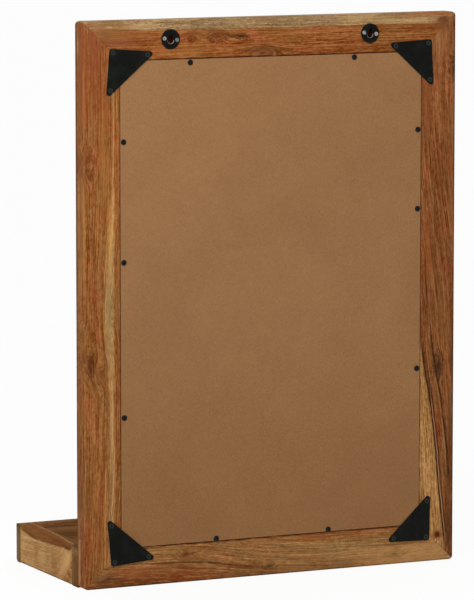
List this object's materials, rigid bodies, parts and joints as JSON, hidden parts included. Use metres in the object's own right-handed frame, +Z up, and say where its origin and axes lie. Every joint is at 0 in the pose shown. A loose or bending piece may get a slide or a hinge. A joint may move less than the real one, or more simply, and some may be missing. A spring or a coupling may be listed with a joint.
{
  "type": "mirror with shelf",
  "caption": "Upright rectangular wall mirror in a mitred hardwood frame, with a shallow tray shelf across its foot and keyhole hangers on the back.",
  "frame": {"origin": "centre of the bounding box in plan, on the surface that the object stands on", "axes": "+Z up along the height of the frame, +Y out of the back towards the wall, +X to the right as seen from the front"},
  "size_m": [0.5, 0.2215, 0.685],
  "materials": {
    "frame_wood": "oiled hardwood with a satin sheen, reddish heartwood and pale sapwood",
    "shelf_wood": "oiled hardwood with a satin sheen, reddish heartwood and pale sapwood",
    "key_wood": "pale hardwood, satin",
    "dowel_wood": "bare turned beech",
    "fibreboard": "smooth bare fibreboard, matt",
    "black_steel": "black coated steel, low sheen",
    "black_screw": "black oxide, glossy on the edges",
    "silver_screw": "bright zinc plated",
    "mirror_glass": "silvered float glass"
  },
  "bodies": {
    "root": {"frame_top_rail": "frame_wood", "frame_bottom_rail": "frame_wood", "frame_left_stile": "frame_wood", "frame_right_stile": "frame_wood", "corner_key_top_left": "key_wood", "corner_key_top_right": "key_wood", "corner_key_bottom_left": "key_wood", "corner_key_bottom_right": "key_wood", "mirror_glass": "mirror_glass", "back_panel": "fibreboard", "panel_screws": "black_screw", "corner_plate_top_left": "black_steel", "corner_plate_top_right": "black_steel", "corner_plate_bottom_left": "black_steel", "corner_plate_bottom_right": "black_steel", "corner_plate_screws": "black_screw", "hanger_plate_left": "black_steel", "hanger_plate_right": "black_steel", "hanger_screws": "silver_screw", "shelf_back_board": "shelf_wood", "shelf_front_board": "shelf_wood", "shelf_left_board": "shelf_wood", "shelf_right_board": "shelf_wood", "shelf_floor": "shelf_wood", "shelf_corner_dowels": "dowel_wood", "shelf_fixing_dowels": "dowel_wood"}
  },
  "joints": []
}
